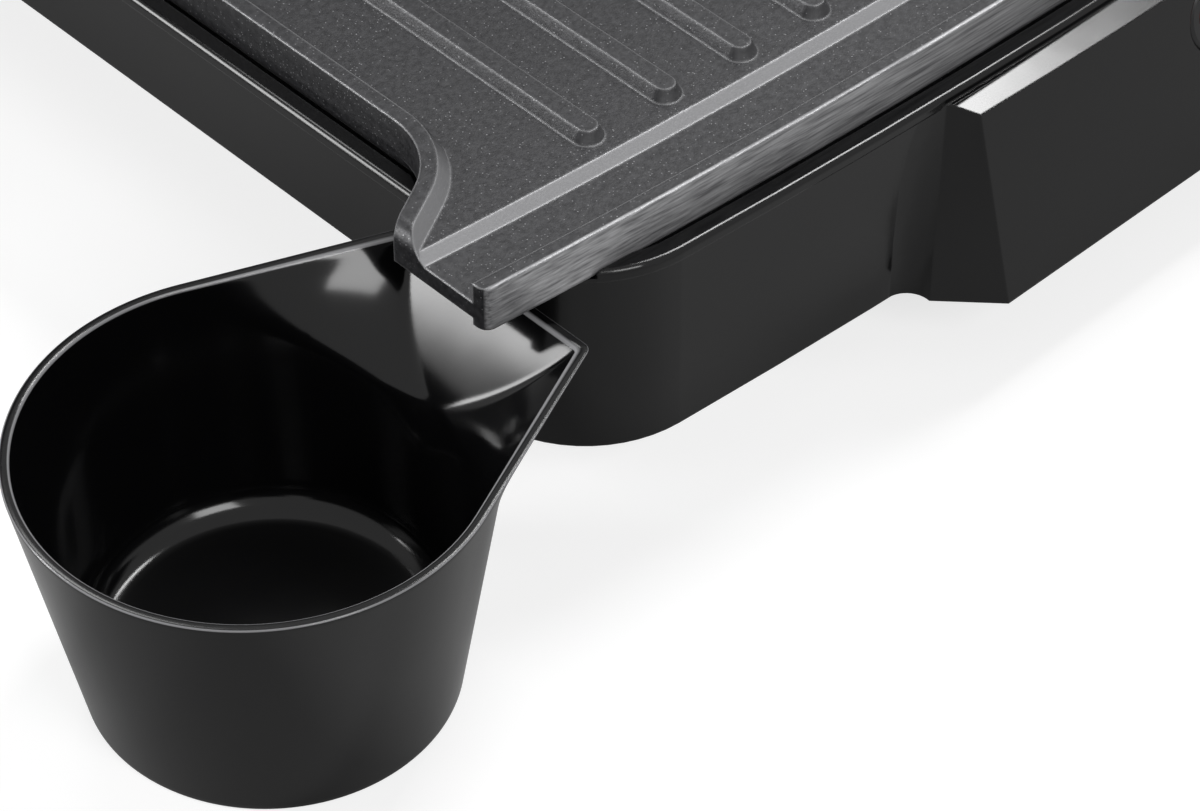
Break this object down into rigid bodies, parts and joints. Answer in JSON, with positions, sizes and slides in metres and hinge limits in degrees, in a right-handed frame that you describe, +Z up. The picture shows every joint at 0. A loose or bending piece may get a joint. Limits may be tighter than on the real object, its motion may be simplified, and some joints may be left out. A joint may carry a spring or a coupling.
{
  "type": "electric contact grill",
  "caption": "Open contact grill: ribbed plates, corner spout over a drip cup, low casing with a wedge block and dial, lid on two arms.",
  "frame": {"origin": "on the table, under the middle of the whole object's footprint with its lid open and its cup in place", "axes": "+X to the right along the front, +Y to the back, +Z up"},
  "size_m": [0.4052, 0.3808, 0.3778],
  "materials": {
    "casing_plastic": "high gloss moulded black",
    "cup_plastic": "high gloss moulded black",
    "cover_plastic": "fine grained black",
    "arm_plastic": "satin black",
    "grip_plastic": "soft satin black",
    "dial_plastic": "satin black with pale ticks",
    "ceramic": "off-white moulded block",
    "wire_insulation": "heat proof sleeve",
    "plate_coating": "dark speckled non-stick coat on cast aluminium",
    "element_sheath": "dull heat-stained steel",
    "sheet_steel": "zinc plated sheet",
    "stainless_panel": "brushed stainless",
    "bright_steel": "bright pin",
    "screw_steel": "zinc plated",
    "foot_rubber": "matte black",
    "washer_plastic": "plain",
    "lens_plastic": "clear red",
    "bezel_plastic": "satin dark ring",
    "lamp_body": "neon lamp holder",
    "fuse_body": "plain metal case"
  },
  "bodies": {
    "base": {"base_shell": "casing_plastic", "hinge_towers": "casing_plastic", "tower_screws": "screw_steel", "bottom_cover": "cover_plastic", "lower_plate": "plate_coating", "lower_element": "element_sheath", "lower_element_clamps": "sheet_steel", "lower_clamp_screws": "screw_steel", "lower_heat_shield": "sheet_steel", "rubber_feet": "foot_rubber", "cover_screws": "screw_steel", "thermostat": "ceramic", "lamp_bezel": "bezel_plastic", "lamp_lens": "lens_plastic", "indicator_lamp": "lamp_body", "cord_gland": "foot_rubber", "terminal_block": "ceramic", "thermal_fuse": "fuse_body", "mains_wires": "wire_insulation"},
    "dial": {"thermostat_dial": "dial_plastic", "thermostat_shaft": "bright_steel"},
    "drip_cup": {"drip_cup": "cup_plastic"},
    "arms": {"left_arm": "arm_plastic", "right_arm": "arm_plastic", "pivot_washers": "washer_plastic", "hinge_pins": "bright_steel", "arm_caps": "arm_plastic", "handle_rod": "bright_steel", "handle_grip": "grip_plastic", "handle_caps": "arm_plastic", "lid_pivot_pins": "bright_steel"},
    "lid_lock": {"lid_lock": "dial_plastic"},
    "lid": {"lid_shell": "casing_plastic", "lid_panel": "stainless_panel", "lid_frame": "casing_plastic", "upper_plate": "plate_coating", "upper_element": "element_sheath", "upper_element_clamps": "sheet_steel", "upper_clamp_screws": "screw_steel", "upper_heat_shield": "sheet_steel", "lid_screws": "screw_steel"}
  },
  "joints": [
    {"name": "arms_hinge", "type": "hinge", "parent": "base", "child": "arms", "pos_m": [0.042, 0.09846, 0.08], "axis": [-1, 0, 0], "range_deg": [-105, 0]},
    {"name": "lid_tilt", "type": "hinge", "parent": "arms", "child": "lid", "pos_m": [0.042, 0.12934, 0.21459], "axis": [1, 0, 0], "range_deg": [0, 12]},
    {"name": "lock_slide", "type": "slide", "parent": "arms", "child": "lid_lock", "axis": [0, -0.2588, -0.9659], "range_m": [0, 0.006]},
    {"name": "dial_turn", "type": "hinge", "parent": "base", "child": "dial", "pos_m": [0.07, -0.17418, 0.0362], "axis": [0, -0.9697, 0.2443], "range_deg": [-300, 0]},
    {"name": "cup_slide", "type": "slide", "parent": "base", "child": "drip_cup", "axis": [-1, 0, 0], "range_m": [0, 0.06]}
  ]
}
